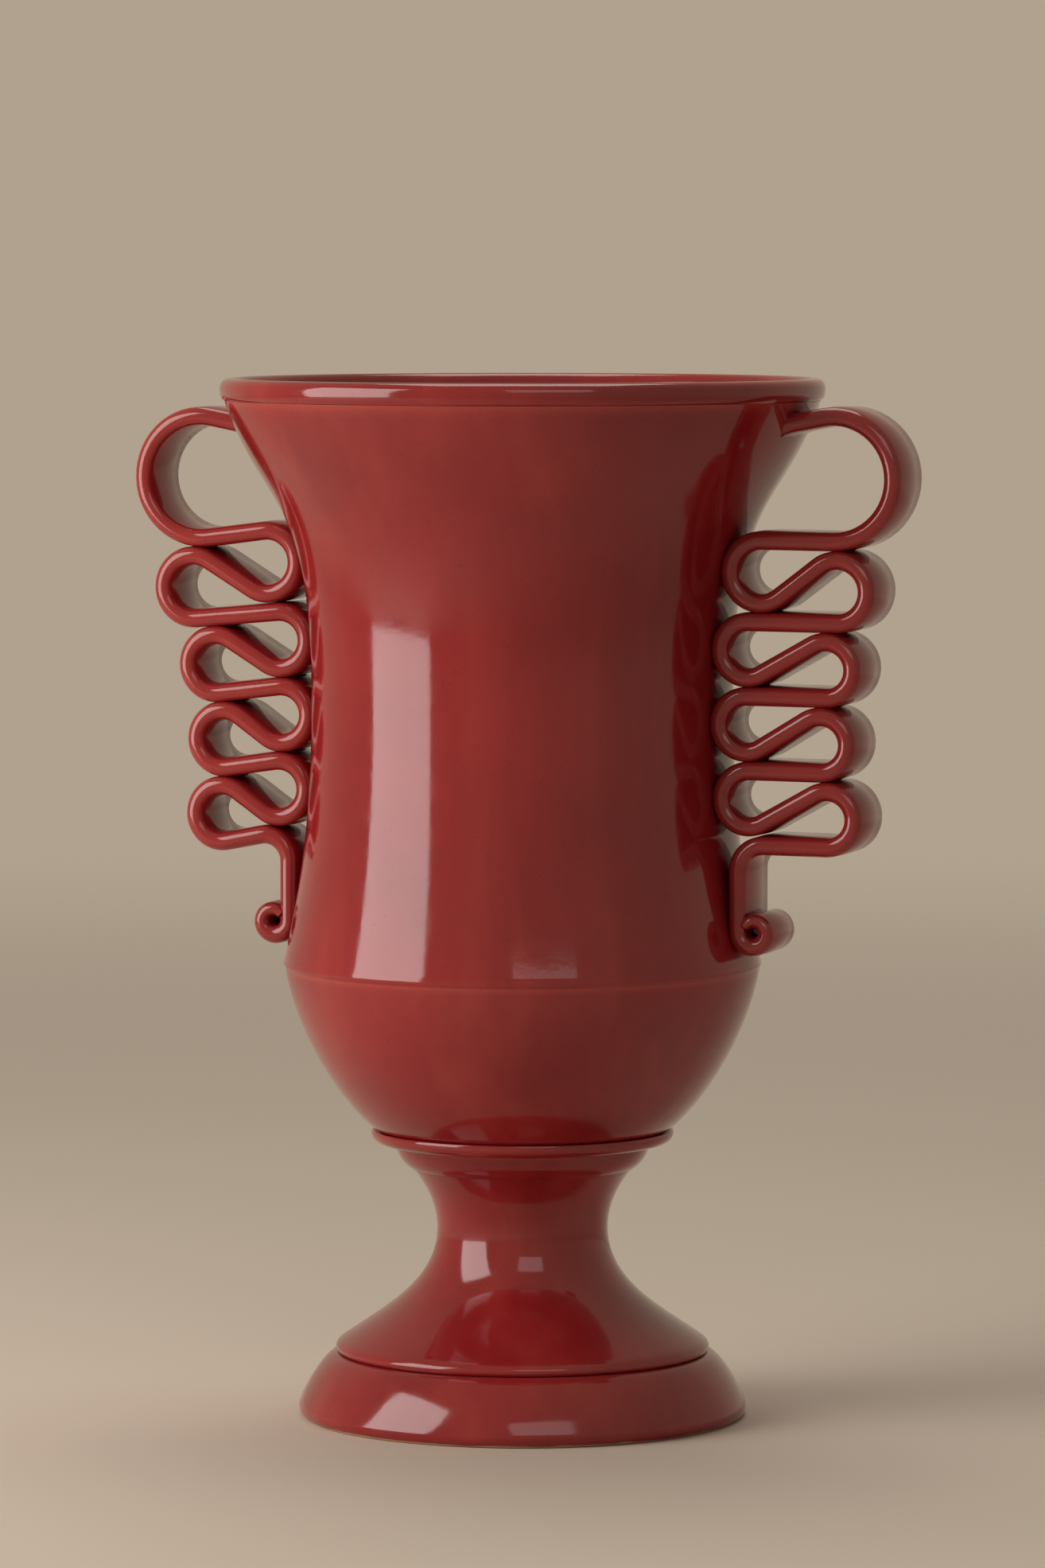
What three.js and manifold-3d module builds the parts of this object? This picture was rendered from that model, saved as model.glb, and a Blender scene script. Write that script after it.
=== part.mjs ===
// Two-handled footed vase in red glazed earthenware. The body is thrown in sections that are luted
// together at level seams, and each handle is one flat strap of clay: it leaves the wall under the
// lip, makes a wide finger loop, folds back on itself four times down the wall and ends in a scroll.
// Millimetres, +Z up. The origin is the middle of the foot on the table; the handles lie along X.
import * as THREE from "three";
import { mergeVertices } from "three/addons/utils/BufferGeometryUtils.js";
import Module from "manifold-3d";

const wasm = await Module();
wasm.setup();

// Heights of the thrown sections, foot to lip
const footHeight = 23.4;
const stemHeight = 77.1;
const bowlHeight = 64.5;
const wallHeight = 207;
const lipHeight = 8;

// Outside radii
const contactRadius = 79.5; // where the foot meets the table
const footRadius = 82.1;
const grooveRadius = 66.8; // the groove between foot and stem
const stemFlareRadius = 68.5;
const stemWaistRadius = 31.3;
const stepRadius = 41; // the small step under the stem's top moulding
const stemTopRadius = 46.9;
const collarRadius = 55.4;
const seamRadius = 87.4; // the widest line of the bowl
const wallWaistRadius = 77;
const mouthRadius = 108.6;
const lipRadius = 110.3;

// Levels inside a section, each measured up from the section's own base
const footBulge = 4;
const stemFlareLevel = 3.6;
const stemWaist = 45.6;
const stepLevel = 68;
const wallWaist = 97;
const seamRounding = 2.2;

// Thicknesses and hollows
const wallThickness = 7;
const bowlFloor = 9;
const footRimWidth = 7;
const stemWall = 7.5;
const collarHeight = 5.4;
const lipThickness = 8.8;

// The strap, the same for both handles
const strapThickness = 7;
const strapWidth = 30;
const rootFillet = 9; // the clay worked down onto the wall under the strap's root
const rootSlope = 5; // how far the strap falls from the top of its loop to the wall
const firstFoldShare = 1.09; // the first fold is this much taller than the other three
const cornerBend = 9.5; // the last bend, where the strap turns down along the wall
const scrollBend = 5.8; // middle line of the scroll where it starts
const scrollTightening = 1.9; // how much nearer its centre the scroll ends
const scrollTip = 4.4; // thickness of the strap's thinned end
const scrollTurn = 325; // degrees
const fuse = 0.4; // how deep a fold sinks into the one it rests on
const press = 1.2; // how far an inner bend is pressed flat against the wall
const clearance = 0.3; // between a strap and the body, and round the collar

// Each handle is folded by hand, so its loops reach out and drop by its own amounts. Reaches are from
// the vase's axis to the strap's middle line; the other levels hang from the lip or stand on the seam.
const rightFolds = {
  side: 1,
  loopReach: 144.5,
  loopRadius: 22.4,
  loopDrop: 49.7,
  foldReach: [134.7, 129.4, 127.5, 130],
  rise: 0.2, // how much higher a level run lies at the wall
  lastRun: 31.3, // above the scroll's centre
  scrollLevel: 16.2, // above the seam
};
const leftFolds = {
  side: -1,
  loopReach: 143.7,
  loopRadius: 22.4,
  loopDrop: 51.3,
  foldReach: [136.1, 126.5, 123.2, 123.8],
  rise: 3,
  lastRun: 28.5,
  scrollLevel: 15.2,
};

// Fineness of the model
const turnSteps = 36; // facets round the body
const curveSteps = 5; // per curved stretch of an outline
const bendStep = THREE.MathUtils.degToRad(22);
const edgeSteps = 4; // facets over the strap's rounded edge

const stemBase = footHeight;
const bowlBase = stemBase + stemHeight;
const wallBase = bowlBase + bowlHeight;
const lipBase = wallBase + wallHeight;
const waistLevel = wallBase + wallWaist;
const seamTop = wallBase + seamRounding;

// A ring, shell or bowl: the outline runs up the outside and comes back down the inside.
function thrown(outline) {
  const points = outline.getPoints(curveSteps);
  const turned = new THREE.LatheGeometry(points, turnSteps);
  return turned.rotateX(Math.PI / 2);
}

// Outside of the wall from the seam to the lip: in to the waist, then out in one flare.
function wallCurve(path, out) {
  path.lineTo(seamRadius + out, seamTop);
  path.bezierCurveTo(
    seamRadius + out - 6.8,
    seamTop + 29,
    wallWaistRadius + out,
    waistLevel - 38,
    wallWaistRadius + out,
    waistLevel,
  );
  path.bezierCurveTo(
    wallWaistRadius + out,
    waistLevel + 79,
    mouthRadius + out - 14.2,
    lipBase - 41.4,
    mouthRadius + out,
    lipBase,
  );
  return path;
}

// The same wall seen from inside, walked back down.
function wallInside(path) {
  const mouth = mouthRadius - wallThickness;
  const waist = wallWaistRadius - wallThickness;
  const seam = seamRadius - wallThickness;
  path.lineTo(mouth, lipBase);
  path.bezierCurveTo(mouth - 14.2, lipBase - 41.4, waist, waistLevel + 79, waist, waistLevel);
  path.bezierCurveTo(waist, waistLevel - 38, seam - 6, seamTop + 29, seam, wallBase);
  return path;
}

function upperWall() {
  const outline = new THREE.Path().moveTo(seamRadius - 0.6, wallBase);
  wallCurve(outline, 0);
  wallInside(outline);
  return thrown(outline.lineTo(seamRadius - 0.6, wallBase));
}

// The lip is a roll that stands proud of the wall outside and is rounded over the top.
function lip() {
  const inside = mouthRadius - wallThickness;
  const top = lipBase + lipHeight;
  const crown = lipRadius - lipThickness / 2;
  const outline = new THREE.Path().moveTo(inside, lipBase);
  outline.lineTo(mouthRadius + 0.1, lipBase);
  outline.quadraticCurveTo(lipRadius, lipBase + 1, lipRadius, lipBase + lipHeight * 0.55);
  outline.quadraticCurveTo(lipRadius, top, crown + 1, top);
  outline.quadraticCurveTo(crown - 3, top, inside, lipBase);
  return thrown(outline);
}

// Outside of the bowl, with the slope that the collar is pressed onto at its foot.
function bowlSlope(level) {
  return stemTopRadius + (level - bowlBase) * 1.4;
}

function bowl() {
  const slopeTop = bowlBase + collarHeight;
  const rim = seamRadius - 0.6;
  const inside = seamRadius - wallThickness;
  const floor = bowlBase + bowlFloor;
  const outline = new THREE.Path().moveTo(0, bowlBase);
  outline.lineTo(stemTopRadius, bowlBase);
  outline.lineTo(bowlSlope(slopeTop), slopeTop);
  outline.bezierCurveTo(
    bowlSlope(slopeTop) + 15.5,
    slopeTop + 13,
    rim - 3.4,
    wallBase - 20.5,
    rim,
    wallBase,
  );
  outline.lineTo(inside, wallBase);
  outline.bezierCurveTo(inside - 5, wallBase - 30, inside - 32, floor, 0, floor);
  return thrown(outline);
}

// The collar is a coil pressed into the corner where the bowl sits on the stem.
function collar() {
  const seat = clearance * Math.hypot(1, 1.4);
  const top = bowlBase + collarHeight + 0.6;
  const inner = bowlSlope(bowlBase) + seat + 0.2;
  const outline = new THREE.Path().moveTo(inner, bowlBase);
  outline.lineTo(collarRadius - 3.6, bowlBase);
  outline.quadraticCurveTo(collarRadius, bowlBase + 1.6, collarRadius, bowlBase + 3.8);
  outline.quadraticCurveTo(collarRadius, bowlBase + 4.6, bowlSlope(top) + seat - 0.6, top - 0.5);
  outline.lineTo(inner, bowlBase);
  return thrown(outline);
}

// The stem is a hollow tube, open below, that swells out to the foot. A convex moulding and a step
// carry it out to the bowl.
function stem() {
  const step = stemBase + stepLevel;
  const waist = stemBase + stemWaist;
  const flare = stemBase + stemFlareLevel;
  const bore = stemWaistRadius - stemWall;
  const outline = new THREE.Path().moveTo(grooveRadius, stemBase);
  outline.lineTo(stemFlareRadius, stemBase + 1.8);
  outline.lineTo(stemFlareRadius, flare);
  outline.bezierCurveTo(
    stemFlareRadius - 16.4,
    flare + 11.4,
    stemWaistRadius,
    waist - 20.2,
    stemWaistRadius,
    waist,
  );
  outline.bezierCurveTo(
    stemWaistRadius,
    waist + 8.6,
    stepRadius - 6,
    step - 7,
    stepRadius - 1,
    step - 0.4,
  );
  outline.lineTo(stepRadius, step);
  outline.quadraticCurveTo(stemTopRadius - 1.2, step + 2.4, stemTopRadius, bowlBase);
  outline.lineTo(bore + 6, bowlBase);
  outline.bezierCurveTo(bore, bowlBase - 16, bore, waist + 12, bore, waist);
  outline.bezierCurveTo(
    bore,
    waist - 22,
    grooveRadius - 22,
    flare + 9,
    grooveRadius - stemWall,
    stemBase,
  );
  return thrown(outline.lineTo(grooveRadius, stemBase));
}

// The foot is a broad rounded bead, hollow underneath, that stands on a flat ring.
function foot() {
  const hollow = grooveRadius - stemWall;
  const outline = new THREE.Path().moveTo(contactRadius - footRimWidth, 0);
  outline.lineTo(contactRadius, 0);
  outline.quadraticCurveTo(footRadius, 0.8, footRadius, footBulge);
  outline.bezierCurveTo(footRadius, 7, grooveRadius + 5, footHeight + 2.6, grooveRadius, footHeight);
  outline.lineTo(hollow, footHeight);
  outline.quadraticCurveTo(hollow + 3, 10, contactRadius - footRimWidth, 0);
  return thrown(outline);
}

function asSolid(geometry) {
  const bare = geometry.clone();
  bare.deleteAttribute("normal");
  bare.deleteAttribute("uv");
  const merged = mergeVertices(bare, 1e-4);
  return new wasm.Manifold(
    new wasm.Mesh({
      numProp: 3,
      vertProperties: merged.attributes.position.array,
      triVerts: new Uint32Array(merged.index.array),
    }),
  );
}

function asGeometry(solid) {
  const { vertProperties, triVerts } = solid.getMesh();
  const geometry = new THREE.BufferGeometry();
  geometry.setAttribute("position", new THREE.BufferAttribute(vertProperties, 3));
  geometry.setIndex(new THREE.BufferAttribute(triVerts, 1));
  geometry.computeVertexNormals();
  return geometry;
}

// Everything that a strap must stay clear of: the outside of wall and lip, grown by the clearance.
function bodyKeepOut() {
  const outline = new THREE.Path().moveTo(0, wallBase - 20);
  outline.lineTo(seamRadius + clearance - 0.6, wallBase - 20);
  outline.lineTo(seamRadius + clearance - 0.6, wallBase);
  wallCurve(outline, clearance);
  outline.lineTo(lipRadius + clearance, lipBase + clearance);
  outline.lineTo(lipRadius + clearance, lipBase + lipHeight);
  outline.lineTo(0, lipBase + lipHeight);
  return thrown(outline);
}

const wallPoints = wallCurve(new THREE.Path().moveTo(seamRadius, wallBase), 0).getPoints(24);

function wallRadius(level) {
  const above = wallPoints.findIndex((p) => p.y >= level);
  const high = wallPoints[above];
  const low = wallPoints[above - 1];
  return THREE.MathUtils.mapLinear(level, low.y, high.y, low.x, high.x);
}

// Distance from the axis of a bend's centre, so that the strap's inner face presses on the wall.
function againstWall(level, bend) {
  const reach = bend + strapThickness / 2;
  let furthest = 0;
  for (let angle = -1.2; angle <= 1.2; angle += 0.1) {
    const touch = wallRadius(level + reach * Math.sin(angle));
    furthest = Math.max(furthest, touch + reach * Math.cos(angle));
  }
  return furthest - press;
}

// The pegs that a strap is wound round, each a circle of its middle line. Turn is +1 for an outer bend
// and -1 for an inner bend, seen with the vase's axis on the left.
function pegsOf(folds) {
  const scrollZ = wallBase + folds.scrollLevel;
  const loopBottom = lipBase - folds.loopDrop;
  const lastRun = scrollZ + folds.lastRun;
  const share = (loopBottom - lastRun) / (folds.foldReach.length - 1 + firstFoldShare);
  const pegs = [
    {
      x: folds.loopReach - folds.loopRadius,
      z: loopBottom + folds.loopRadius,
      bend: folds.loopRadius,
      turn: 1,
    },
  ];
  let run = loopBottom;
  folds.foldReach.forEach((reach, i) => {
    const above = pegs[pegs.length - 1];
    const pitch = i === 0 ? share * firstFoldShare : share;
    const inBend = (pitch - strapThickness + fuse) / 2;
    const inZ = run + folds.rise - inBend;
    const inX = againstWall(inZ, inBend);
    pegs.push({ x: inX, z: inZ, bend: inBend, turn: -1 });
    const along = (above.x - reach + inBend) / (above.x - inX);
    const runHere = run + folds.rise * Math.max(along, 0);
    const outTop = runHere - strapThickness + fuse;
    const bend = (outTop - run + pitch) / 2;
    pegs.push({ x: reach - bend, z: outTop - bend, bend, turn: 1 });
    run -= pitch;
  });
  const dropX = wallRadius(scrollZ) + strapThickness / 2 - press;
  pegs.push({
    x: dropX + cornerBend,
    z: run + folds.rise - cornerBend,
    bend: cornerBend,
    turn: -1,
  });
  pegs.push({ x: dropX + scrollBend, z: scrollZ, bend: scrollBend, turn: -1 });
  return pegs;
}

// Where a straight run leaves one peg and reaches the next.
function runBetween(a, b) {
  const apart = Math.hypot(b.x - a.x, b.z - a.z);
  const bearing = Math.atan2(b.z - a.z, b.x - a.x);
  const heading = bearing - Math.asin((a.turn * a.bend - b.turn * b.bend) / apart);
  const normal = [-Math.sin(heading), Math.cos(heading)];
  const leave = new THREE.Vector2(a.x + a.turn * a.bend * normal[0], a.z + a.turn * a.bend * normal[1]);
  const reach = new THREE.Vector2(b.x + b.turn * b.bend * normal[0], b.z + b.turn * b.bend * normal[1]);
  return { leave, reach, heading };
}

// Stations of the middle line round one peg, from heading to heading.
function bendStations(peg, from, to) {
  let sweep = (to - from) * -peg.turn;
  while (sweep < 0) sweep += 2 * Math.PI;
  const steps = Math.max(1, Math.ceil(sweep / bendStep));
  const stations = [];
  for (let i = 0; i <= steps; i++) {
    const heading = from - (peg.turn * sweep * i) / steps;
    stations.push({
      x: peg.x - peg.turn * peg.bend * Math.sin(heading),
      z: peg.z + peg.turn * peg.bend * Math.cos(heading),
      heading,
      over: strapThickness / 2,
      under: strapThickness / 2,
    });
  }
  return stations;
}

// The scroll turns on past the last run, tightens and thins towards its end.
function scrollStations(peg, from, start, end) {
  const steps = Math.ceil(THREE.MathUtils.degToRad(end - start) / bendStep);
  const stations = [];
  for (let i = 0; i <= steps; i++) {
    const degrees = THREE.MathUtils.lerp(start, end, i / steps);
    const done = degrees / scrollTurn;
    const heading = from + THREE.MathUtils.degToRad(degrees);
    const radius = peg.bend - scrollTightening * done;
    const thick = THREE.MathUtils.lerp(strapThickness, scrollTip, done * done);
    stations.push({
      x: peg.x + radius * Math.sin(heading),
      z: peg.z - radius * Math.cos(heading),
      heading,
      over: thick / 2,
      under: thick / 2,
    });
  }
  return stations;
}

// The strap leaves the wall inside its own fillet, which is a quarter round under it.
function rootStations(start, run) {
  const steps = 7;
  const corner = wallRadius(start.y - strapThickness / 2 - rootFillet);
  const stations = [];
  for (let i = 0; i <= steps; i++) {
    const t = i / steps;
    const fromCorner = THREE.MathUtils.lerp(start.x, run.reach.x, t) - corner;
    const left = THREE.MathUtils.clamp(rootFillet - fromCorner, 0, rootFillet);
    const fillet = rootFillet - Math.sqrt(rootFillet ** 2 - left ** 2);
    stations.push({
      x: THREE.MathUtils.lerp(start.x, run.reach.x, t),
      z: THREE.MathUtils.lerp(start.y, run.reach.y, t),
      heading: run.heading,
      over: strapThickness / 2,
      under: strapThickness / 2 + fillet,
    });
  }
  return stations;
}

// One station's cross section: flat faces and fully rounded front and back edges.
function sectionAt(station, side) {
  const half = (station.over + station.under) / 2;
  const shift = (station.over - station.under) / 2;
  const flat = strapWidth / 2 - strapThickness / 2;
  const ring = [];
  for (const edge of [1, -1]) {
    for (let i = 0; i <= edgeSteps; i++) {
      const angle = Math.PI * (i / edgeSteps) + (edge > 0 ? 0 : Math.PI);
      const across = shift + half * Math.cos(angle);
      const y = edge * flat + (strapThickness / 2) * Math.sin(angle);
      ring.push([
        side * (station.x - across * Math.sin(station.heading)),
        y,
        station.z + across * Math.cos(station.heading),
      ]);
    }
  }
  return ring;
}

// One closed stretch of strap through a list of stations.
function stretch(stations, side) {
  const rings = stations.map((station) => sectionAt(station, side));
  const count = rings[0].length;
  const positions = rings.flat(2);
  const index = [];
  const face = (a, b, c) => index.push(...(side < 0 ? [a, b, c] : [a, c, b]));
  for (let r = 0; r + 1 < rings.length; r++) {
    for (let i = 0; i < count; i++) {
      const j = (i + 1) % count;
      const low = r * count;
      face(low + i, low + j, low + count + j);
      face(low + i, low + count + j, low + count + i);
    }
  }
  const last = (rings.length - 1) * count;
  for (let i = 1; i + 1 < count; i++) {
    face(0, i + 1, i);
    face(last, last + i, last + i + 1);
  }
  const geometry = new THREE.BufferGeometry();
  geometry.setAttribute("position", new THREE.Float32BufferAttribute(positions, 3));
  geometry.setIndex(index);
  return asSolid(geometry);
}

function middle(a, b) {
  return { ...a, x: (a.x + b.x) / 2, z: (a.z + b.z) / 2 };
}

// A whole handle: one strap wound round its pegs, its touching folds fused, and its root and inner
// bends shaped to the wall.
function handle(folds) {
  const pegs = pegsOf(folds);
  const loopTop = pegs[0].z + pegs[0].bend;
  const startLevel = loopTop - rootSlope;
  const startX = wallRadius(startLevel - strapThickness - rootFillet) - 2;
  const start = new THREE.Vector2(startX, startLevel);
  const startPeg = { x: start.x, z: start.y, bend: 0, turn: 1 };
  const runs = pegs.map((peg, i) => runBetween(i ? pegs[i - 1] : startPeg, peg));
  const bends = pegs.slice(0, -1).map((peg, i) => bendStations(peg, runs[i].heading, runs[i + 1].heading));
  const half = scrollTurn / 2;
  const scroll = pegs[pegs.length - 1];
  const heading = runs[runs.length - 1].heading;
  bends.push(scrollStations(scroll, heading, 0, half));
  bends[0] = [...rootStations(start, runs[0]).slice(0, -1), ...bends[0]];
  let solid = stretch(scrollStations(scroll, heading, half, scrollTurn), folds.side);
  bends.forEach((stations, i) => {
    const before = bends[i - 1];
    const after = bends[i + 1];
    const whole = [...stations];
    if (before) whole.unshift(middle(before[before.length - 1], stations[0]));
    if (after) whole.push(middle(stations[stations.length - 1], after[0]));
    solid = solid.add(stretch(whole, folds.side));
  });
  return asGeometry(solid.subtract(asSolid(bodyKeepOut())));
}

const glaze = new THREE.MeshStandardMaterial({ color: 0xa32a26, roughness: 0.12, metalness: 0 });

function piece(name, geometry) {
  const mesh = new THREE.Mesh(geometry, glaze.clone());
  mesh.name = name;
  return mesh;
}

const vase = new THREE.Group();
vase.add(piece("foot_ring", foot()));
vase.add(piece("hollow_stem", stem()));
vase.add(piece("collar_coil", collar()));
vase.add(piece("bowl", bowl()));
vase.add(piece("flared_wall", upperWall()));
vase.add(piece("rolled_lip", lip()));
vase.add(piece("right_handle_strap", handle(rightFolds)));
vase.add(piece("left_handle_strap", handle(leftFolds)));

export default vase;
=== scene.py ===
import math

import bmesh
import bpy
from mathutils import Matrix, Vector
from mathutils.geometry import interpolate_bezier


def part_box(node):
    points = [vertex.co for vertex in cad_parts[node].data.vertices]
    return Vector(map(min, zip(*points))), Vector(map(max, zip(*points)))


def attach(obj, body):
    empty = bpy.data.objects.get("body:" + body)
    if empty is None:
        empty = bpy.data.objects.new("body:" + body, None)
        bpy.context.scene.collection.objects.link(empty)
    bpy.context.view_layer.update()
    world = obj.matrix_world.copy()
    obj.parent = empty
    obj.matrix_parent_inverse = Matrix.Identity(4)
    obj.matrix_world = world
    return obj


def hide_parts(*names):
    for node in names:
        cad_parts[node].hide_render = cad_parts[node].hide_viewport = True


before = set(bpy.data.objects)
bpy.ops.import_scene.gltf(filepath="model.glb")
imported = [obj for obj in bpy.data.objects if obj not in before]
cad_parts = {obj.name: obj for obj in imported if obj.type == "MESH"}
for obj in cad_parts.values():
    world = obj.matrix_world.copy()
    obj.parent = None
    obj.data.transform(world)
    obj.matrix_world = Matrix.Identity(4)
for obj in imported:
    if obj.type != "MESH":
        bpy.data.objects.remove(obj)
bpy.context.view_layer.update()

MM = 0.001

# Camera, at the height and turn from which the vase was photographed: a long lens far off, a little
# above the lip and looking slightly down, with the right handle turned towards it.
camera_turn = math.radians(19.5)
camera_distance = 2.6835
camera_height = 0.42777
camera_tilt = 0.072881
photo_focal_pixels = 9259.5
photo_height_pixels = 1971

camera_data = bpy.data.cameras.new("camera")
camera_data.sensor_width = 36.0
camera_data.lens = photo_focal_pixels / photo_height_pixels * camera_data.sensor_width
camera = bpy.data.objects.new("camera", camera_data)
camera.location = (
    camera_distance * math.sin(camera_turn),
    -camera_distance * math.cos(camera_turn),
    camera_height,
)
camera.rotation_euler = (math.pi / 2 - camera_tilt, 0, camera_turn)
bpy.context.scene.collection.objects.link(camera)
bpy.context.scene.camera = camera

# The foot is a broad thrown bead, hollow underneath. It was dipped in the red glaze and its contact
# ring wiped clean, so a thin line of bare tan clay shows where it stands.
low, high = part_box("foot_ring")
foot_top = high.z
foot_radius = high.x
contact_radius = foot_radius - 2.6 * MM
contact_width = 7 * MM
groove_radius = foot_radius - 15.3 * MM
pot_wall = 7.5 * MM
crisp_corner = math.radians(40)


def curve(start, leave, arrive, end, steps=14):
    """One curved stretch of an outline in radius and height, without its first point."""
    points = [Vector((r, 0, z)) for r, z in (start, leave, arrive, end)]
    return [(p.x, p.z) for p in interpolate_bezier(*points, steps + 1)[1:]]


def turned(name, outline, steps=144):
    """A thrown piece: the closed outline, up the outside and down the inside, spun on the wheel."""
    bm = bmesh.new()
    ring = [bm.verts.new((r, 0, z)) for r, z in outline]
    edges = [bm.edges.new(pair) for pair in zip(ring, ring[1:] + ring[:1])]
    bmesh.ops.spin(
        bm,
        geom=ring + edges,
        cent=(0, 0, 0),
        axis=(0, 0, 1),
        angle=2 * math.pi,
        steps=steps,
        use_merge=True,
        use_duplicate=False,
    )
    bmesh.ops.remove_doubles(bm, verts=bm.verts, dist=1e-6)
    bmesh.ops.dissolve_degenerate(bm, edges=bm.edges, dist=1e-7)
    bmesh.ops.recalc_face_normals(bm, faces=bm.faces)
    for face in bm.faces:
        face.smooth = True
    for edge in bm.edges:
        edge.smooth = edge.calc_face_angle(0) < crisp_corner
    mesh = bpy.data.meshes.new(name)
    bm.to_mesh(mesh)
    bm.free()
    piece = bpy.data.objects.new(name, mesh)
    bpy.context.scene.collection.objects.link(piece)
    return piece


def red_glaze(name, bare_below=None):
    """Glossy oxblood glaze: mottled, darker in recesses from pooled glaze and painted shade, brick red
    where it breaks over an edge.
    """
    material = bpy.data.materials.new(name)
    material.use_nodes = True
    nodes, links = material.node_tree.nodes, material.node_tree.links
    shader = nodes["Principled BSDF"]
    shader.inputs["IOR"].default_value = 1.5
    shader.inputs["Coat Weight"].default_value = 0.15
    shader.inputs["Coat Roughness"].default_value = 0.03
    place = nodes.new("ShaderNodeTexCoord")

    def noise(scale, detail=3.0, stretch=(1, 1, 1)):
        spread = nodes.new("ShaderNodeMapping")
        spread.inputs["Scale"].default_value = stretch
        links.new(place.outputs["Object"], spread.inputs["Vector"])
        node = nodes.new("ShaderNodeTexNoise")
        node.inputs["Scale"].default_value = scale
        node.inputs["Detail"].default_value = detail
        links.new(spread.outputs["Vector"], node.inputs["Vector"])
        return node.outputs["Fac"]

    def ramp(value, low_stop, high_stop, low_value=0.0, high_value=1.0):
        node = nodes.new("ShaderNodeMapRange")
        node.inputs["From Min"].default_value = low_stop
        node.inputs["From Max"].default_value = high_stop
        node.inputs["To Min"].default_value = low_value
        node.inputs["To Max"].default_value = high_value
        links.new(value, node.inputs["Value"])
        return node.outputs["Result"]

    def blend(share, first, second):
        node = nodes.new("ShaderNodeMix")
        node.data_type = "RGBA"
        links.new(share, node.inputs["Factor"])
        for socket, value in ((node.inputs["A"], first), (node.inputs["B"], second)):
            if isinstance(value, tuple):
                socket.default_value = (*value, 1)
            else:
                links.new(value, socket)
        return node.outputs["Result"]

    thick_glaze_and_shade_red = (0.225, 0.010, 0.012)
    body_red = (0.315, 0.0175, 0.019)
    thin_glaze = (0.43, 0.05, 0.036)
    speck = (0.10, 0.006, 0.007)

    # Mottling in soft clouds and in runs that follow the glaze down the wall
    clouds = ramp(noise(13, 4), 0.3, 0.62)
    colour = blend(clouds, thick_glaze_and_shade_red, body_red)
    runs = ramp(noise(45, 3, (1, 1, 0.1)), 0.5, 0.8, 0.0, 0.4)
    colour = blend(runs, colour, thin_glaze)
    # Thin over raised edges; thicker glaze and painted shade darken the recesses and gaps between
    # parts
    geometry = nodes.new("ShaderNodeNewGeometry")
    edges = ramp(geometry.outputs["Pointiness"], 0.51, 0.60, 0.0, 0.75)
    colour = blend(edges, colour, thin_glaze)
    # Painted shade: ambient occlusion within 6 mm darkens hollows and gaps between parts towards a
    # deep red. It stands in for shade there as well as for real glaze pooling.
    pooling_and_shade_occlusion = nodes.new("ShaderNodeAmbientOcclusion")
    pooling_and_shade_occlusion.inputs["Distance"].default_value = 6 * MM
    pooling_and_painted_shade = ramp(pooling_and_shade_occlusion.outputs["AO"], 0.25, 0.85, 0.8, 0.0)
    colour = blend(pooling_and_painted_shade, colour, thick_glaze_and_shade_red)
    # Iron specks from the clay
    specks = ramp(noise(900, 1), 0.70, 0.76, 0.0, 0.5)
    colour = blend(specks, colour, speck)
    roughness = ramp(noise(120, 3), 0.3, 0.7, 0.07, 0.13)

    if bare_below is not None:
        bare_clay = (0.50, 0.31, 0.19)
        split = nodes.new("ShaderNodeSeparateXYZ")
        links.new(place.outputs["Object"], split.inputs["Vector"])
        wander = nodes.new("ShaderNodeMath")
        wander.operation = "MULTIPLY_ADD"
        links.new(noise(60, 2), wander.inputs[0])
        wander.inputs[1].default_value = -1.4 * MM
        links.new(split.outputs["Z"], wander.inputs[2])
        bare = ramp(wander.outputs["Value"], bare_below - 0.5 * MM, bare_below, 1.0, 0.0)
        colour = blend(bare, colour, bare_clay)
        dry = nodes.new("ShaderNodeMix")
        links.new(bare, dry.inputs["Factor"])
        links.new(roughness, dry.inputs["A"])
        dry.inputs["B"].default_value = 0.85
        roughness = dry.outputs["Result"]
    links.new(colour, shader.inputs["Base Color"])
    links.new(roughness, shader.inputs["Roughness"])

    # Slow waves left by the thrower's hands, then the fine skin of the glaze
    wave = nodes.new("ShaderNodeBump")
    wave.inputs["Strength"].default_value = 0.5
    wave.inputs["Distance"].default_value = 1.1 * MM
    links.new(noise(22, 1, (1, 1, 0.35)), wave.inputs["Height"])
    skin = nodes.new("ShaderNodeBump")
    skin.inputs["Strength"].default_value = 0.12
    skin.inputs["Distance"].default_value = 0.12 * MM
    links.new(noise(420, 2), skin.inputs["Height"])
    links.new(wave.outputs["Normal"], skin.inputs["Normal"])
    links.new(skin.outputs["Normal"], shader.inputs["Normal"])
    return material


def finished(piece, material, *nodes):
    """Gives a piece its glaze and puts it in the place of its solid."""
    piece.data.materials.append(material)
    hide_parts(*nodes)
    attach(piece, "root")


foot_hollow = groove_radius - pot_wall
foot_outline = [(contact_radius - contact_width, 0), (contact_radius, 0)]
foot_outline += curve(
    (contact_radius, 0),
    (foot_radius - 0.9 * MM, 0.2 * MM),
    (foot_radius, 1.8 * MM),
    (foot_radius, 4 * MM),
    6,
)
foot_outline += curve(
    (foot_radius, 4 * MM),
    (foot_radius, 7 * MM),
    (groove_radius + 5 * MM, foot_top + 2.6 * MM),
    (groove_radius, foot_top),
    24,
)
foot_outline += [(foot_hollow, foot_top)]
foot_outline += curve(
    (foot_hollow, foot_top),
    (foot_hollow + 2 * MM, 14.5 * MM),
    (foot_hollow + 6 * MM, 6.7 * MM),
    (contact_radius - contact_width, 0),
)[:-1]
foot = turned("foot", foot_outline)
finished(foot, red_glaze("glaze on foot", bare_below=0.4 * MM), "foot_ring")
glaze = red_glaze("red glaze")

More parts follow.
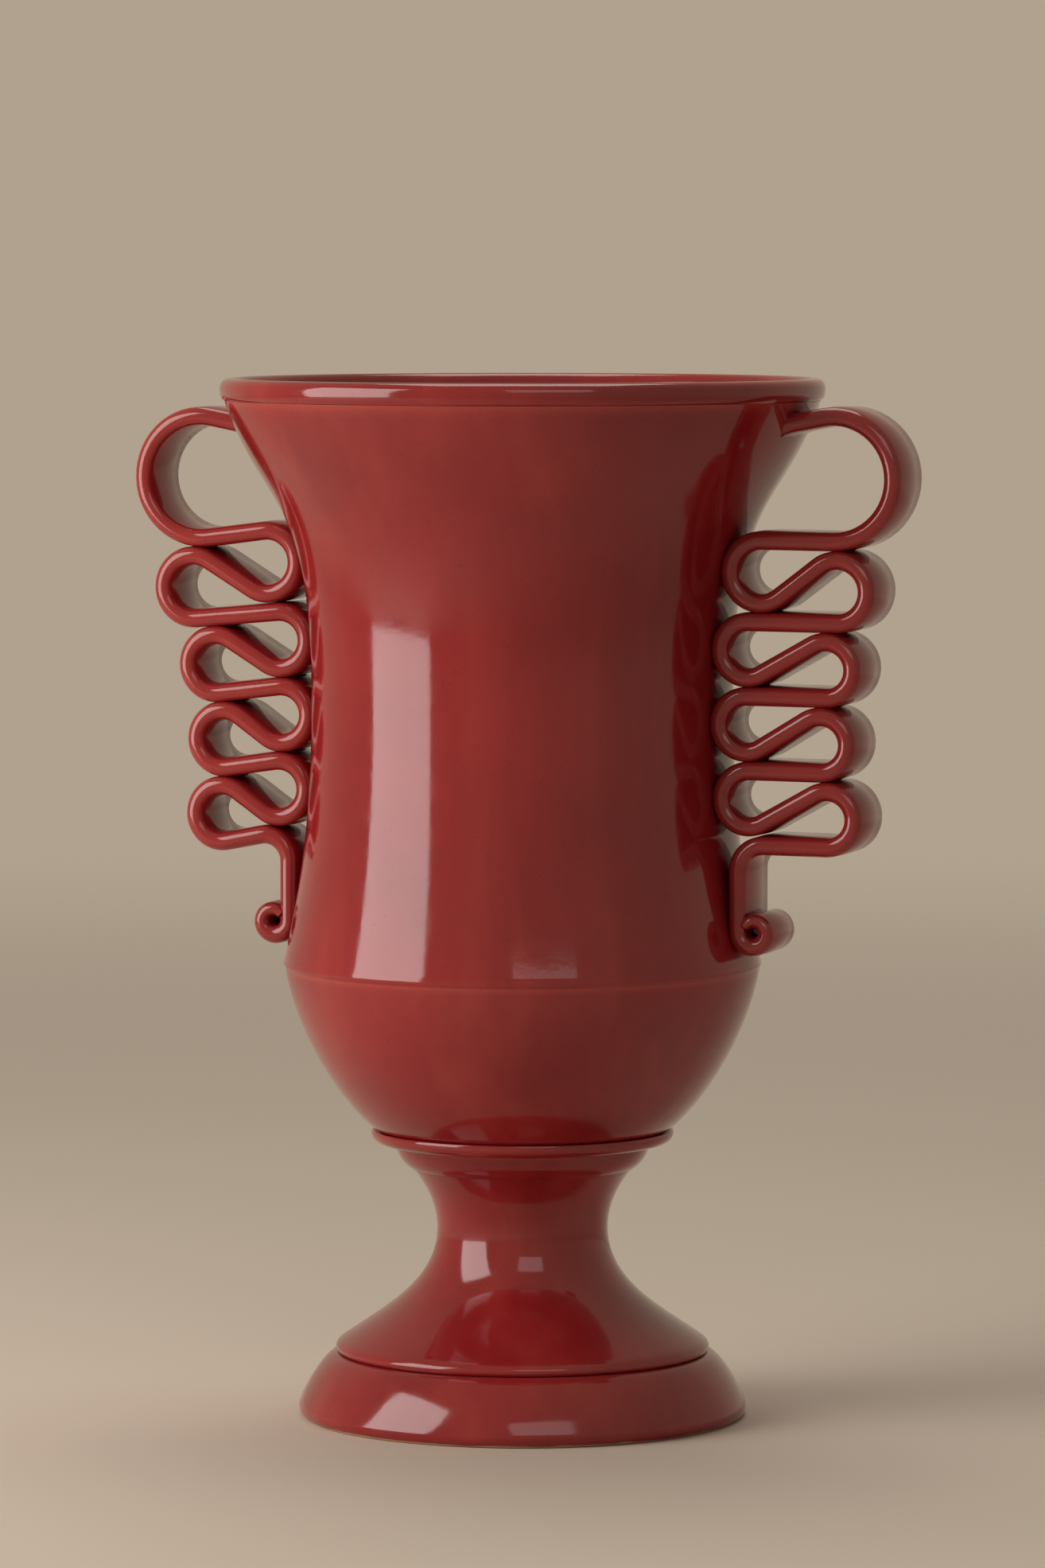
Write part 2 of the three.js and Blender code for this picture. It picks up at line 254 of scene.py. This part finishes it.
# The stem is a hollow thrown tube that sweeps out to the foot. Its top is turned to a convex moulding
# over a small sharp step, and it is luted to the foot in the groove.
low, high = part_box("hollow_stem")
stem_top = high.z
stem_flare_radius = high.x
stem_flare_level = low.z + 3.6 * MM
stem_waist_radius = 31.3 * MM
stem_waist_level = low.z + 45.6 * MM
step_radius = 41 * MM
step_level = low.z + 68 * MM
stem_top_radius = 46.9 * MM
stem_bore = stem_waist_radius - pot_wall

stem_outline = [(groove_radius, low.z)]
stem_outline += curve(
    (groove_radius, low.z),
    (groove_radius + 0.8 * MM, low.z + 0.1 * MM),
    (stem_flare_radius, low.z + 0.9 * MM),
    (stem_flare_radius, low.z + 2.2 * MM),
    5,
)
stem_outline += curve(
    (stem_flare_radius, low.z + 2.2 * MM),
    (stem_flare_radius, low.z + 3 * MM),
    (stem_flare_radius - 0.5 * MM, stem_flare_level - 0.2 * MM),
    (stem_flare_radius - 1.1 * MM, stem_flare_level + 0.6 * MM),
    4,
)
stem_outline += curve(
    (stem_flare_radius - 1.1 * MM, stem_flare_level + 0.6 * MM),
    (stem_flare_radius - 16.4 * MM, stem_flare_level + 11.4 * MM),
    (stem_waist_radius, stem_waist_level - 20.2 * MM),
    (stem_waist_radius, stem_waist_level),
    30,
)
stem_outline += curve(
    (stem_waist_radius, stem_waist_level),
    (stem_waist_radius, stem_waist_level + 8.6 * MM),
    (step_radius - 6 * MM, step_level - 7 * MM),
    (step_radius - 1 * MM, step_level - 0.4 * MM),
    20,
)
stem_outline += [(step_radius - 0.2 * MM, step_level - 0.3 * MM), (step_radius, step_level)]
stem_outline += curve(
    (step_radius, step_level),
    (step_radius + 3 * MM, step_level + 1.6 * MM),
    (stem_top_radius - 0.9 * MM, step_level + 5 * MM),
    (stem_top_radius, stem_top),
    10,
)
stem_outline += [(stem_bore + 6 * MM, stem_top)]
stem_outline += curve(
    (stem_bore + 6 * MM, stem_top),
    (stem_bore, stem_top - 16 * MM),
    (stem_bore, stem_waist_level + 12 * MM),
    (stem_bore, stem_waist_level),
)
stem_outline += curve(
    (stem_bore, stem_waist_level),
    (stem_bore, stem_waist_level - 22 * MM),
    (groove_radius - 22 * MM, stem_flare_level + 9 * MM),
    (groove_radius - pot_wall, low.z),
)
finished(turned("stem", stem_outline), glaze, "hollow_stem")

# The bowl is thrown with its own floor and luted onto the stem. Its foot is a short slope that the
# collar is pressed onto, and its rim meets the wall at the widest line of the body.
low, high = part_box("bowl")
bowl_base = low.z
seam_level = high.z
bowl_rim = high.x
bowl_floor = bowl_base + 9 * MM
slope_top = bowl_base + 5.4 * MM
slope_radius = stem_top_radius + (slope_top - bowl_base) * 1.4
bowl_inside = bowl_rim + 0.6 * MM - 7 * MM

bowl_outline = [(0, bowl_base), (stem_top_radius, bowl_base), (slope_radius, slope_top)]
bowl_outline += curve(
    (slope_radius, slope_top),
    (slope_radius + 15.5 * MM, slope_top + 13 * MM),
    (bowl_rim - 3.4 * MM, seam_level - 20.5 * MM),
    (bowl_rim, seam_level),
    40,
)
bowl_outline += [(bowl_inside, seam_level)]
bowl_outline += curve(
    (bowl_inside, seam_level),
    (bowl_inside - 5 * MM, seam_level - 30 * MM),
    (bowl_inside - 32 * MM, bowl_floor),
    (0, bowl_floor),
    24,
)
finished(turned("bowl_body", bowl_outline), glaze, "bowl")

# The collar is a thin coil of clay pressed into the corner between bowl and stem and rounded with a
# wet sponge, so it stands out as a crisp ring.
low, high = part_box("collar_coil")
collar_radius = high.x
collar_seat = 0.3 * MM * math.hypot(1, 1.4)
collar_inner = stem_top_radius + collar_seat + 0.2 * MM
collar_top_radius = stem_top_radius + (high.z - low.z) * 1.4 + collar_seat - 0.6 * MM

collar_outline = [(collar_inner, low.z), (collar_radius - 4.2 * MM, low.z)]
collar_outline += curve(
    (collar_radius - 4.2 * MM, low.z),
    (collar_radius - 2 * MM, low.z + 0.2 * MM),
    (collar_radius, low.z + 1.6 * MM),
    (collar_radius, low.z + 3.7 * MM),
    8,
)
collar_outline += curve(
    (collar_radius, low.z + 3.7 * MM),
    (collar_radius, low.z + 4.6 * MM),
    (collar_top_radius + 0.7 * MM, high.z - 0.5 * MM),
    (collar_top_radius, high.z - 0.5 * MM),
    6,
)
finished(turned("collar", collar_outline), glaze, "collar_coil")

# The wall is thrown as an open tube, drawn in to a long waist and flared to the mouth. Its lower edge
# is luted to the bowl's rim, and the joint was ribbed smooth into one soft ridge under the glaze.
low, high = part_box("flared_wall")
wall_top = high.z
mouth_radius = high.x
seam_radius = bowl_rim + 0.6 * MM
seam_round = seam_level + 2.2 * MM
wall_waist_radius = 77 * MM
wall_waist_level = seam_level + 97 * MM
wall_thick = 7 * MM


def wall_side(out, steps):
    """The wall's outline from its lower edge to the mouth, moved in by a thickness for the inside."""
    points = curve(
        (seam_radius - out, seam_round),
        (seam_radius - out - 6.8 * MM, seam_round + 29 * MM),
        (wall_waist_radius - out, wall_waist_level - 38 * MM),
        (wall_waist_radius - out, wall_waist_level),
        steps,
    )
    points += curve(
        (wall_waist_radius - out, wall_waist_level),
        (wall_waist_radius - out, wall_waist_level + 79 * MM),
        (mouth_radius - out - 14.2 * MM, wall_top - 41.4 * MM),
        (mouth_radius - out, wall_top),
        steps,
    )
    return points


wall_outline = [(bowl_rim, seam_level)]
wall_outline += curve(
    (bowl_rim, seam_level),
    (bowl_rim + 0.2 * MM, seam_level + 0.7 * MM),
    (seam_radius, seam_level + 1.3 * MM),
    (seam_radius, seam_round),
    6,
)
outer_wall = wall_side(0, 44)
wall_outline += outer_wall
wall_outline += list(reversed(wall_side(wall_thick, 20)))
wall_outline += [(seam_radius - wall_thick, seam_level)]
finished(turned("wall", wall_outline, 180), glaze, "flared_wall")

# The lip is a roll turned over the wall's top. It stands proud outside, with a shadow line under it,
# and falls away to the inside.
low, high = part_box("rolled_lip")
lip_radius = high.x
lip_top = high.z
lip_crown = lip_radius - 4.4 * MM
lip_inside = mouth_radius - wall_thick

lip_outline = [(lip_inside, low.z), (mouth_radius - 0.6 * MM, low.z)]
lip_outline += curve(
    (mouth_radius - 0.6 * MM, low.z),
    (mouth_radius + 0.9 * MM, low.z - 0.1 * MM),
    (lip_radius, low.z + 1.6 * MM),
    (lip_radius, low.z + 4.2 * MM),
    9,
)
lip_outline += curve(
    (lip_radius, low.z + 4.2 * MM),
    (lip_radius, low.z + 6.6 * MM),
    (lip_crown + 2.8 * MM, lip_top),
    (lip_crown + 0.6 * MM, lip_top),
    9,
)
lip_outline += curve(
    (lip_crown + 0.6 * MM, lip_top),
    (lip_crown - 2.4 * MM, lip_top),
    (lip_inside + 0.8 * MM, lip_top - 3.5 * MM),
    (lip_inside, low.z),
    10,
)[:-1]
finished(turned("lip", lip_outline, 180), glaze, "rolled_lip")

# Each handle is one flat strap of clay. It leaves the wall under the lip, makes a wide finger loop,
# folds back on itself four times and is rolled up at its end. Every fold is luted to the one above it
# and to the wall, and the strap's edges were rounded with a wet finger.
strap_thick = 7 * MM
strap_width = 30 * MM
loop_radius = 22.4 * MM
first_fold_share = 1.09
corner_bend = 9.5 * MM
scroll_bend = 5.8 * MM
scroll_tightening = 1.9 * MM
scroll_tip = 4.4 * MM
scroll_turn = math.radians(325)
root_fillet = 9 * MM
root_slope = 5 * MM
root_overrun = 5 * MM
root_depth = 3 * MM
fuse = 0.4 * MM
press = 1.2 * MM
bend_step = math.radians(7)
run_step = 2.5 * MM


def wall_radius(level):
    """The wall's outer radius at a height."""
    points = [(seam_radius, seam_level)] + outer_wall
    for (low_r, low_z), (high_r, high_z) in zip(points, points[1:]):
        if low_z <= level <= high_z:
            return low_r + (high_r - low_r) * (level - low_z) / (high_z - low_z)
    return points[-1][0]


def against_wall(level, bend):
    """How far out a bend's centre is when the strap's inner face presses on the wall."""
    reach = bend + strap_thick / 2
    angles = [i / 10 for i in range(-12, 13)]
    touch = (wall_radius(level + reach * math.sin(a)) + reach * math.cos(a) for a in angles)
    return max(touch) - press


def pegs_of(loop_reach, loop_drop, fold_reach, rise, last_run, scroll_level):
    """Centre, middle radius and turn of every bend: 1 swings out, -1 turns back at the wall."""
    scroll_z = seam_level + scroll_level
    run = wall_top - loop_drop
    share = (run - scroll_z - last_run) / (len(fold_reach) - 1 + first_fold_share)
    pegs = [(loop_reach - loop_radius, run + loop_radius, loop_radius, 1)]
    for i, reach in enumerate(fold_reach):
        pitch = share * (first_fold_share if i == 0 else 1)
        inner = (pitch - strap_thick + fuse) / 2
        inner_z = run + rise - inner
        inner_x = against_wall(inner_z, inner)
        along = (pegs[-1][0] - reach + inner) / (pegs[-1][0] - inner_x)
        pegs.append((inner_x, inner_z, inner, -1))
        top = run + rise * max(along, 0) - strap_thick + fuse
        outer = (top - run + pitch) / 2
        pegs.append((reach - outer, top - outer, outer, 1))
        run -= pitch
    drop_x = wall_radius(scroll_z) + strap_thick / 2 - press
    pegs.append((drop_x + corner_bend, run + rise - corner_bend, corner_bend, -1))
    pegs.append((drop_x + scroll_bend, scroll_z, scroll_bend, -1))
    return pegs


def run_between(a, b):
    """Heading of the straight run from one bend to the next, and where it starts and ends."""
    (ax, az, a_bend, a_turn), (bx, bz, b_bend, b_turn) = a, b
    apart = math.hypot(bx - ax, bz - az)
    bearing = math.atan2(bz - az, bx - ax)
    heading = bearing - math.asin((a_turn * a_bend - b_turn * b_bend) / apart)
    normal = Vector((-math.sin(heading), 0, math.cos(heading)))
    leave = Vector((ax, 0, az)) + normal * a_turn * a_bend
    reach = Vector((bx, 0, bz)) + normal * b_turn * b_bend
    return heading, leave, reach


def strap_end(bm, place, heading):
    """The strap's cross section: a circle drawn out sideways, with rows across its flat faces."""
    ring = bmesh.ops.create_circle(bm, segments=20, radius=strap_thick / 2)["verts"]
    half_flat = (strap_width - strap_thick) / 2
    for v in ring:
        v.co.x, v.co.y = v.co.y, v.co.x
        v.co.y += half_flat if v.co.y > 1e-7 else -half_flat if v.co.y < -1e-7 else 0
    lean = Matrix.Rotation(-heading - math.pi / 2, 3, "Y")
    bmesh.ops.rotate(bm, verts=ring, cent=(0, 0, 0), matrix=lean)
    bmesh.ops.translate(bm, verts=ring, vec=place)
    return ring


def edges_of(ring):
    """The edges that close a ring of the strap."""
    members = set(ring)
    return list({e for v in ring for e in v.link_edges if e.other_vert(v) in members})


def carry(bm, ring, vector):
    """Draws the strap straight on from its last ring."""
    steps = max(1, round(vector.length / run_step))
    for _ in range(steps):
        made = bmesh.ops.extrude_edge_only(bm, edges=edges_of(ring))["geom"]
        ring = [g for g in made if isinstance(g, bmesh.types.BMVert)]
        bmesh.ops.translate(bm, verts=ring, vec=vector / steps)
    return ring


def turn_round(bm, ring, peg, sweep, steps):
    """Bends the strap round a peg, clockwise for an outer bend."""
    made = bmesh.ops.spin(
        bm,
        geom=ring + edges_of(ring),
        cent=(peg[0], 0, peg[1]),
        axis=(0, 1, 0),
        angle=peg[3] * sweep,
        steps=steps,
        use_merge=False,
        use_duplicate=False,
    )["geom_last"]
    return [g for g in made if isinstance(g, bmesh.types.BMVert)]


def root_shape(ring_verts, centre_z, corner):
    """Works the clay under the strap's root down onto the wall in a quarter round."""
    for v in ring_verts:
        left = min(max(root_fillet - (v.co.x - corner), 0), root_fillet)
        depth = root_fillet - math.sqrt(root_fillet**2 - left**2)
        under = min(max((centre_z - v.co.z) / strap_thick + 0.5, 0), 1)
        v.co.z -= depth * under
        v.co.y *= 1 + 0.08 * depth / root_fillet


def root_cut(bm, centre_z):
    """Cuts the strap off on a slant inside the wall's thickness, so nothing shows in the mouth."""
    low_z = centre_z - strap_thick / 2 - root_fillet
    high_z = centre_z + strap_thick / 2
    foot_point = Vector((wall_radius(low_z) - root_depth, 0, low_z))
    top_point = Vector((wall_radius(high_z) - root_depth, 0, high_z))
    along_wall = top_point - foot_point
    cut = bmesh.ops.bisect_plane(
        bm,
        geom=bm.verts[:] + bm.edges[:] + bm.faces[:],
        plane_co=foot_point,
        plane_no=(along_wall.z, 0, -along_wall.x),
        clear_inner=True,
    )["geom_cut"]
    bmesh.ops.edgeloop_fill(bm, edges=[g for g in cut if isinstance(g, bmesh.types.BMEdge)])


def folded_strap(name, node, side, **folds):
    """One whole handle, wound round its pegs from the root to the tip of the scroll."""
    loop_reach = max(abs(corner.x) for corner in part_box(node)) - strap_thick / 2
    pegs = pegs_of(loop_reach, **folds)
    start_z = pegs[0][1] + pegs[0][2] - root_slope
    start_x = wall_radius(start_z - strap_thick - root_fillet) - 2 * MM
    stops = [(start_x, start_z, 0, 1)] + pegs
    runs = [run_between(a, b) for a, b in zip(stops, stops[1:])]
    bm = bmesh.new()
    heading, leave, reach = runs[0]
    leave = leave - (reach - leave).normalized() * root_overrun
    ring = strap_end(bm, leave, heading)
    ring = carry(bm, ring, reach - leave)
    corner = wall_radius(start_z - strap_thick / 2 - root_fillet)
    root_shape(list(bm.verts), start_z, corner)
    root_cut(bm, start_z)
    for i, peg in enumerate(pegs[:-1]):
        sweep = ((runs[i + 1][0] - runs[i][0]) * -peg[3]) % (2 * math.pi)
        ring = turn_round(bm, ring, peg, sweep, max(2, math.ceil(sweep / bend_step)))
        ring = carry(bm, ring, runs[i + 1][2] - runs[i + 1][1])
    scroll = pegs[-1]
    centre = Vector((scroll[0], 0, scroll[1]))
    steps = math.ceil(scroll_turn / bend_step)
    thick = strap_thick
    for i in range(1, steps + 1):
        ring = turn_round(bm, ring, scroll, scroll_turn / steps, 1)
        middle = sum((v.co for v in ring), Vector()) / len(ring)
        inward = (centre - middle).normalized()
        now = strap_thick + (scroll_tip - strap_thick) * (i / steps) ** 2
        for v in ring:
            across = (v.co - middle).dot(inward)
            v.co += inward * (across * (now / thick - 1) + scroll_tightening / steps)
        thick = now
    bmesh.ops.edgeloop_fill(bm, edges=edges_of(ring))
    bmesh.ops.scale(bm, verts=bm.verts, vec=(side, 1, 1))
    bmesh.ops.remove_doubles(bm, verts=bm.verts, dist=1e-6)
    bmesh.ops.recalc_face_normals(bm, faces=bm.faces)
    for face in bm.faces:
        face.smooth = len(face.verts) < 5
    mesh = bpy.data.meshes.new(name)
    bm.to_mesh(mesh)
    bm.free()
    piece = bpy.data.objects.new(name, mesh)
    bpy.context.scene.collection.objects.link(piece)
    finished(piece, glaze, node)


folded_strap(
    "right_handle",
    "right_handle_strap",
    1,
    loop_drop=49.7 * MM,
    fold_reach=[134.7 * MM, 129.4 * MM, 127.5 * MM, 130 * MM],
    rise=0.2 * MM,
    last_run=31.3 * MM,
    scroll_level=16.2 * MM,
)
folded_strap(
    "left_handle",
    "left_handle_strap",
    -1,
    loop_drop=51.3 * MM,
    fold_reach=[136.1 * MM, 126.5 * MM, 123.2 * MM, 123.8 * MM],
    rise=3 * MM,
    last_run=28.5 * MM,
    scroll_level=15.2 * MM,
)

# The floor is a wide flat sheet of pale studio paper. It carries the vase's shadow, and far out it
# fades into the colour of the room, so that no edge shows from any side.
floor_half = 12.0
room_colour = (0.44, 0.36, 0.275, 1)
fade_from = 0.45
fade_to = 2.6

bm = bmesh.new()
bmesh.ops.create_grid(bm, x_segments=8, y_segments=8, size=floor_half)
paper_mesh = bpy.data.meshes.new("floor")
bm.to_mesh(paper_mesh)
bm.free()
floor = bpy.data.objects.new("floor", paper_mesh)
bpy.context.scene.collection.objects.link(floor)
paper = bpy.data.materials.new("warm paper")
paper.use_nodes = True
nodes, links = paper.node_tree.nodes, paper.node_tree.links
paper_shader = nodes["Principled BSDF"]
paper_shader.inputs["Base Color"].default_value = (0.72, 0.61, 0.49, 1)
paper_shader.inputs["Roughness"].default_value = 0.85
far_shader = nodes.new("ShaderNodeEmission")
far_shader.inputs["Color"].default_value = room_colour
where = nodes.new("ShaderNodeTexCoord")
distance = nodes.new("ShaderNodeVectorMath")
distance.operation = "LENGTH"
links.new(where.outputs["Object"], distance.inputs[0])
fade = nodes.new("ShaderNodeMapRange")
fade.interpolation_type = "SMOOTHSTEP"
fade.inputs["From Min"].default_value = fade_from
fade.inputs["From Max"].default_value = fade_to
links.new(distance.outputs["Value"], fade.inputs["Value"])
seen = nodes.new("ShaderNodeLightPath")
seen_or_mirrored = nodes.new("ShaderNodeMath")
seen_or_mirrored.operation = "MAXIMUM"
links.new(seen.outputs["Is Camera Ray"], seen_or_mirrored.inputs[0])
links.new(seen.outputs["Is Glossy Ray"], seen_or_mirrored.inputs[1])
share = nodes.new("ShaderNodeMath")
share.operation = "MULTIPLY"
links.new(fade.outputs["Result"], share.inputs[0])
links.new(seen_or_mirrored.outputs["Value"], share.inputs[1])
join = nodes.new("ShaderNodeMixShader")
links.new(share.outputs["Value"], join.inputs["Fac"])
links.new(paper_shader.outputs["BSDF"], join.inputs[1])
links.new(far_shader.outputs["Emission"], join.inputs[2])
links.new(join.outputs["Shader"], nodes["Material Output"].inputs["Surface"])
floor.data.materials.append(paper)

# One tall softbox stands on the floor at the vase's left. A weak lamp fills from the front and one
# from above and behind, so the right side falls into shade.
view_turn = Matrix.Rotation(camera_turn, 4, "Z")


def softbox(name, place, aim, width, height, watts, tint):
    data = bpy.data.lights.new(name, "AREA")
    data.shape = "RECTANGLE"
    data.size = width
    data.size_y = height
    data.energy = watts
    data.color = tint
    lamp = bpy.data.objects.new(name, data)
    at = view_turn @ Vector(place)
    towards = view_turn @ Vector(aim) - at
    lamp.location = at
    lamp.rotation_euler = towards.to_track_quat("-Z", "Y").to_euler()
    lamp.visible_camera = False
    bpy.context.scene.collection.objects.link(lamp)


warm = (1.0, 0.97, 0.94)
softbox("key", (-1.25, -0.5, 0.67), (0, 0, 0.45), 0.95, 1.3, 18, warm)
softbox("front_fill", (0.5, -2.6, 1.7), (0, 0, 0.2), 1.6, 1.2, 7, warm)
softbox("top", (0.0, 0.6, 2.2), (0, 0, 0.2), 1.2, 1.2, 14, warm)

# The room gives a weak even light, and is seen and mirrored in its own warm colour.
world = bpy.data.worlds.new("studio")
world.use_nodes = True
nodes, links = world.node_tree.nodes, world.node_tree.links
room_light = nodes["Background"]
room_light.inputs["Color"].default_value = (0.62, 0.56, 0.50, 1)
room_light.inputs["Strength"].default_value = 0.2
room_seen = nodes.new("ShaderNodeBackground")
room_seen.inputs["Color"].default_value = room_colour
seen = nodes.new("ShaderNodeLightPath")
seen_or_mirrored = nodes.new("ShaderNodeMath")
seen_or_mirrored.operation = "MAXIMUM"
links.new(seen.outputs["Is Camera Ray"], seen_or_mirrored.inputs[0])
links.new(seen.outputs["Is Glossy Ray"], seen_or_mirrored.inputs[1])
join = nodes.new("ShaderNodeMixShader")
links.new(seen_or_mirrored.outputs["Value"], join.inputs["Fac"])
links.new(room_light.outputs["Background"], join.inputs[1])
links.new(room_seen.outputs["Background"], join.inputs[2])
links.new(join.outputs["Shader"], nodes["World Output"].inputs["Surface"])
bpy.context.scene.world = world
bpy.context.scene.view_settings.view_transform = "Standard"
